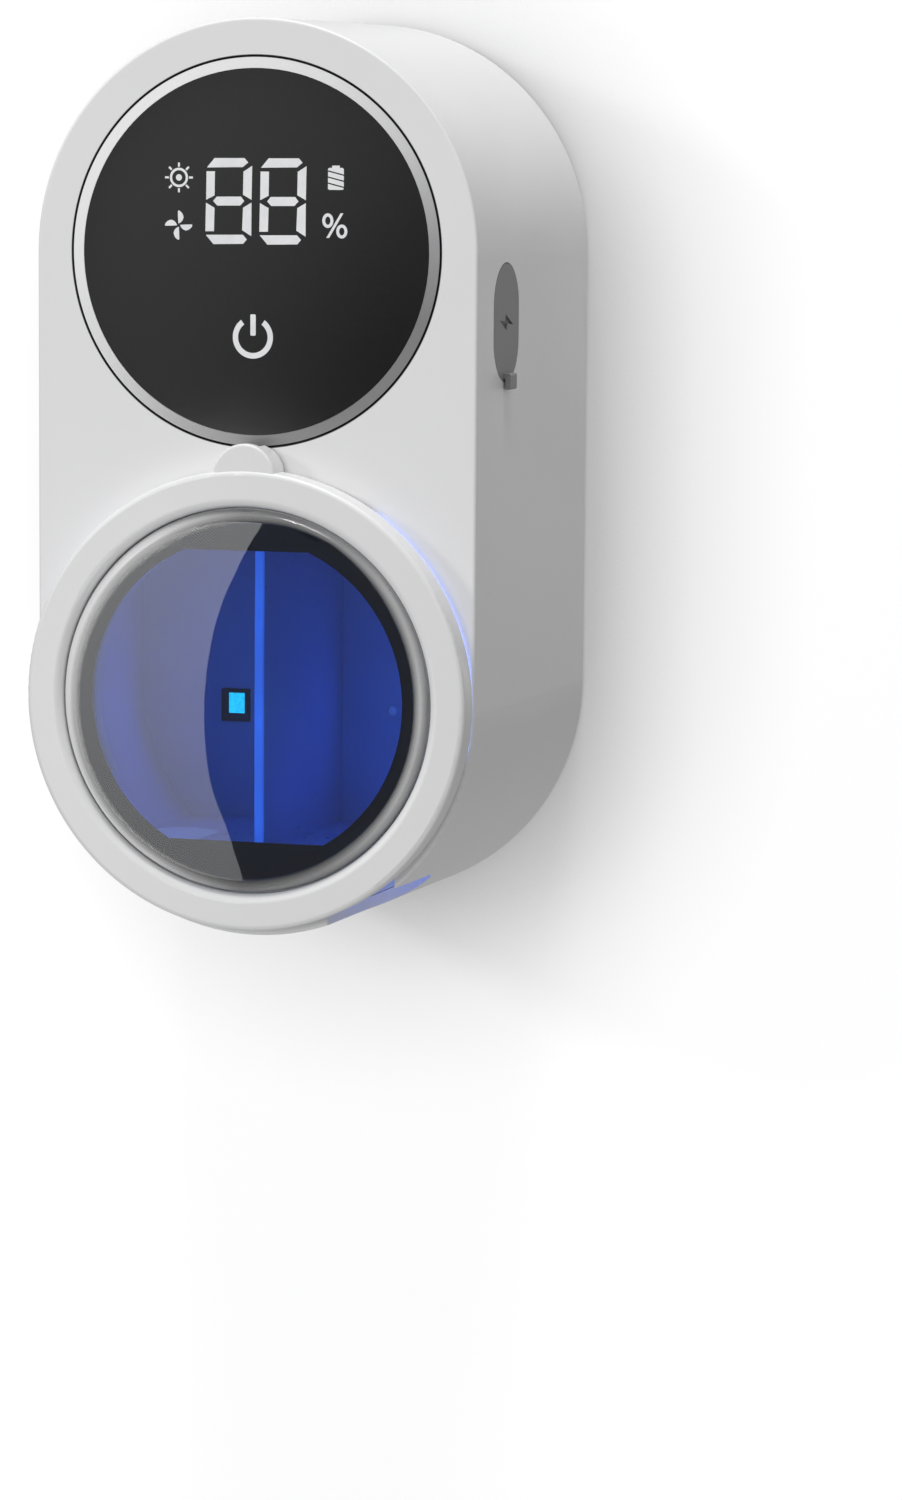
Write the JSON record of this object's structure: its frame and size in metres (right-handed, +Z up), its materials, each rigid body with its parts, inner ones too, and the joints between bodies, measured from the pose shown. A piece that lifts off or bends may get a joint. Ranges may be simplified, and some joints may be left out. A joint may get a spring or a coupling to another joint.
{
  "type": "toothbrush sanitizer",
  "caption": "Wall-mounted stadium-shaped toothbrush sanitizer with a round display above a round flip-up window over a two-brush lamp chamber.",
  "frame": {"origin": "middle of the adhesive face that is stuck to the wall", "axes": "+Z up, +Y into the wall, +X to the right of a person facing the product; the front face looks along -Y"},
  "size_m": [0.0745, 0.067, 0.1448],
  "materials": {
    "shell_white": "fine satin moulded ABS",
    "cover_white": "satin moulded ABS",
    "screw_steel": "zinc plated",
    "bezel_silver": "satin silver paint",
    "lens_black": "smoked gloss acrylic",
    "legend_white": "translucent light guide",
    "tape_black": "foam tape",
    "module_white": "moulded light box",
    "pcb_green": "solder mask",
    "chip_black": "moulded epoxy",
    "spring_steel": "drawn spring steel",
    "cell_wrap": "shrink sleeve",
    "cradle_black": "moulded nylon",
    "contact_nickel": "nickel strip",
    "liner_white": "gloss moulded ABS",
    "board_alu": "white masked aluminium board",
    "led_ceramic": "ceramic package",
    "led_glass": "quartz window",
    "fan_black": "glass filled PBT",
    "bearing_brass": "sintered bronze",
    "stator_iron": "laminations and windings",
    "magnet_nickel": "nickel plated magnet",
    "port_grey": "moulded ABS",
    "plug_silicone": "matt silicone",
    "connector_steel": "stamped steel",
    "wire_red": "PVC insulation",
    "ring_white": "fine satin moulded ABS",
    "window_clear": "lightly tinted polycarbonate",
    "mask_black": "black screen print",
    "bumper_silicone": "soft silicone",
    "bolt_print": "dark print",
    "bracket_white": "moulded ABS",
    "pad_foam": "acrylic foam tape"
  },
  "bodies": {
    "housing": {"front_shell": "shell_white", "rear_cover": "cover_white", "cover_screws": "screw_steel", "display_bezel": "bezel_silver", "display_lens": "lens_black", "display_legend": "legend_white", "lens_tape": "tape_black", "led_display_module": "module_white", "main_pcb": "pcb_green", "pcb_components": "chip_black", "pcb_screws": "screw_steel", "touch_spring": "spring_steel", "battery_cell": "cell_wrap", "battery_cradle": "cradle_black", "cradle_screws": "screw_steel", "battery_contacts": "contact_nickel", "chamber_liner": "liner_white", "chamber_divider": "liner_white", "uv_led_board": "board_alu", "uv_led_packages": "led_ceramic", "uv_led_windows": "led_glass", "uv_board_screws": "screw_steel", "fan_frame": "fan_black", "fan_bearing": "bearing_brass", "fan_stator": "stator_iron", "fan_screws": "screw_steel", "catch_magnet": "magnet_nickel", "hall_sensor": "chip_black", "port_bezel": "port_grey", "plug_tether_pad": "plug_silicone", "usb_c_connector": "connector_steel", "charge_board": "pcb_green", "charge_components": "chip_black", "wiring_harness": "wire_red"},
    "rotor": {"fan_shaft": "spring_steel", "fan_rotor": "fan_black"},
    "lid": {"lid_ring": "ring_white", "lid_window": "window_clear", "window_mask": "mask_black", "hinge_pin": "spring_steel", "lid_magnet": "magnet_nickel", "lid_bumpers": "bumper_silicone"},
    "plug": {"port_plug": "plug_silicone", "bolt_symbol": "bolt_print"},
    "wall_mount": {"wall_bracket": "bracket_white", "adhesive_pad": "pad_foam"}
  },
  "joints": [
    {"name": "body_lift", "type": "slide", "parent": "wall_mount", "child": "housing", "axis": [0, 0, 1], "range_m": [0, 0.0075]},
    {"name": "lid_hinge", "type": "hinge", "parent": "housing", "child": "lid", "pos_m": [0, -0.063, 0.0044], "axis": [-1, 0, 0], "range_deg": [0, 90]},
    {"name": "plug_hinge", "type": "hinge", "parent": "housing", "child": "plug", "pos_m": [0.0365, -0.0459, 0.03397], "axis": [0, -1, 0], "range_deg": [0, 110]},
    {"name": "fan_spin", "type": "hinge", "parent": "housing", "child": "rotor", "pos_m": [0, -0.038, -0.003], "axis": [0, 0, 1], "continuous": true}
  ]
}
